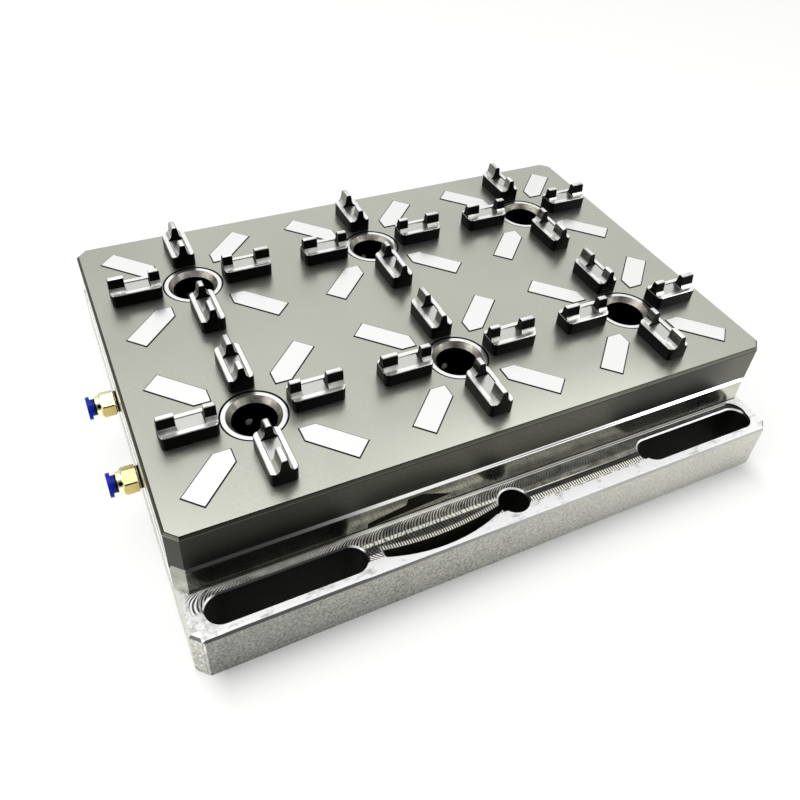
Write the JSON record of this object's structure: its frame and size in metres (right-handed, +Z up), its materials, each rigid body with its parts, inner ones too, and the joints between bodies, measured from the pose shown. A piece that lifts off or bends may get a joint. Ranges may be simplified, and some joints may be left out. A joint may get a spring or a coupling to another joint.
{
  "type": "pneumatic pallet chuck",
  "caption": "Air-operated multi-station pallet chuck: stacked steel plates with centring posts around spigot bores, slotted clamping ledges and push-in air fittings.",
  "frame": {"origin": "centre of the base plate's underside", "axes": "+X along the long side, away from the air fittings; -Y is the front ledge; +Z up, out of the clamping face"},
  "size_m": [0.3139, 0.245, 0.0766],
  "materials": {
    "top_steel": "satin ground face",
    "ground_steel": "bright ground",
    "base_steel": "milled",
    "blackened_steel": "blackened hardened steel, rails ground bright",
    "cage_steel": "hardened and ground",
    "piston_steel": "turned",
    "pin_steel": "hardened and polished",
    "screw_steel": "black oxide",
    "plated_brass": "bright, pale",
    "blue_plastic": "moulded",
    "seal_rubber": "matt",
    "gasket_plastic": "matt"
  },
  "bodies": {
    "chuck_body": {"base_plate": "base_steel", "cylinder_plate": "ground_steel", "top_plate": "top_steel", "bore_seals": "seal_rubber", "stack_screws": "screw_steel", "fitting_body_front": "plated_brass", "fitting_body_back": "plated_brass", "fitting_gaskets": "gasket_plastic", "centring_posts_1": "blackened_steel", "centring_posts_2": "blackened_steel", "centring_posts_3": "blackened_steel", "centring_posts_4": "blackened_steel", "centring_posts_5": "blackened_steel", "centring_posts_6": "blackened_steel", "pin_cage_1": "cage_steel", "pin_cage_2": "cage_steel", "pin_cage_3": "cage_steel", "pin_cage_4": "cage_steel", "pin_cage_5": "cage_steel", "pin_cage_6": "cage_steel"},
    "piston_body_1": {"piston_1": "piston_steel"},
    "piston_body_2": {"piston_2": "piston_steel"},
    "piston_body_3": {"piston_3": "piston_steel"},
    "piston_body_4": {"piston_4": "piston_steel"},
    "piston_body_5": {"piston_5": "piston_steel"},
    "piston_body_6": {"piston_6": "piston_steel"},
    "pin_body_1": {"locking_pins_1": "pin_steel"},
    "pin_body_2": {"locking_pins_2": "pin_steel"},
    "pin_body_3": {"locking_pins_3": "pin_steel"},
    "collar_body_front": {"release_collar_front": "blue_plastic"},
    "collar_body_back": {"release_collar_back": "blue_plastic"}
  },
  "joints": [
    {"name": "piston_lift_1", "type": "slide", "parent": "chuck_body", "child": "piston_body_1", "axis": [0, 0, 1], "range_m": [0, 0.005]},
    {"name": "piston_lift_2", "type": "slide", "parent": "chuck_body", "child": "piston_body_2", "axis": [0, 0, 1], "range_m": [0, 0.005]},
    {"name": "piston_lift_3", "type": "slide", "parent": "chuck_body", "child": "piston_body_3", "axis": [0, 0, 1], "range_m": [0, 0.005]},
    {"name": "piston_lift_4", "type": "slide", "parent": "chuck_body", "child": "piston_body_4", "axis": [0, 0, 1], "range_m": [0, 0.005]},
    {"name": "piston_lift_5", "type": "slide", "parent": "chuck_body", "child": "piston_body_5", "axis": [0, 0, 1], "range_m": [0, 0.005]},
    {"name": "piston_lift_6", "type": "slide", "parent": "chuck_body", "child": "piston_body_6", "axis": [0, 0, 1], "range_m": [0, 0.005]},
    {"name": "pins_in_1", "type": "slide", "parent": "chuck_body", "child": "pin_body_1", "axis": [0, -1, 0], "range_m": [0, 0.002]},
    {"name": "pins_in_2", "type": "slide", "parent": "chuck_body", "child": "pin_body_2", "axis": [0.866, 0.5, 0], "range_m": [0, 0.002]},
    {"name": "pins_in_3", "type": "slide", "parent": "chuck_body", "child": "pin_body_3", "axis": [-0.866, 0.5, 0], "range_m": [0, 0.002]},
    {"name": "collar_push_front", "type": "slide", "parent": "chuck_body", "child": "collar_body_front", "axis": [1, 0, 0], "range_m": [0, 0.001], "stiffness_N_per_m": 1000},
    {"name": "collar_push_back", "type": "slide", "parent": "chuck_body", "child": "collar_body_back", "axis": [1, 0, 0], "range_m": [0, 0.001], "stiffness_N_per_m": 1000}
  ],
  "couplings": [
    {"joint": "piston_lift_2", "follows": "piston_lift_1", "ratio": 1},
    {"joint": "piston_lift_3", "follows": "piston_lift_1", "ratio": 1},
    {"joint": "piston_lift_4", "follows": "piston_lift_1", "ratio": 1},
    {"joint": "piston_lift_5", "follows": "piston_lift_1", "ratio": 1},
    {"joint": "piston_lift_6", "follows": "piston_lift_1", "ratio": 1},
    {"joint": "pins_in_1", "follows": "piston_lift_1", "ratio": 0.4},
    {"joint": "pins_in_2", "follows": "piston_lift_1", "ratio": 0.4},
    {"joint": "pins_in_3", "follows": "piston_lift_1", "ratio": 0.4}
  ]
}
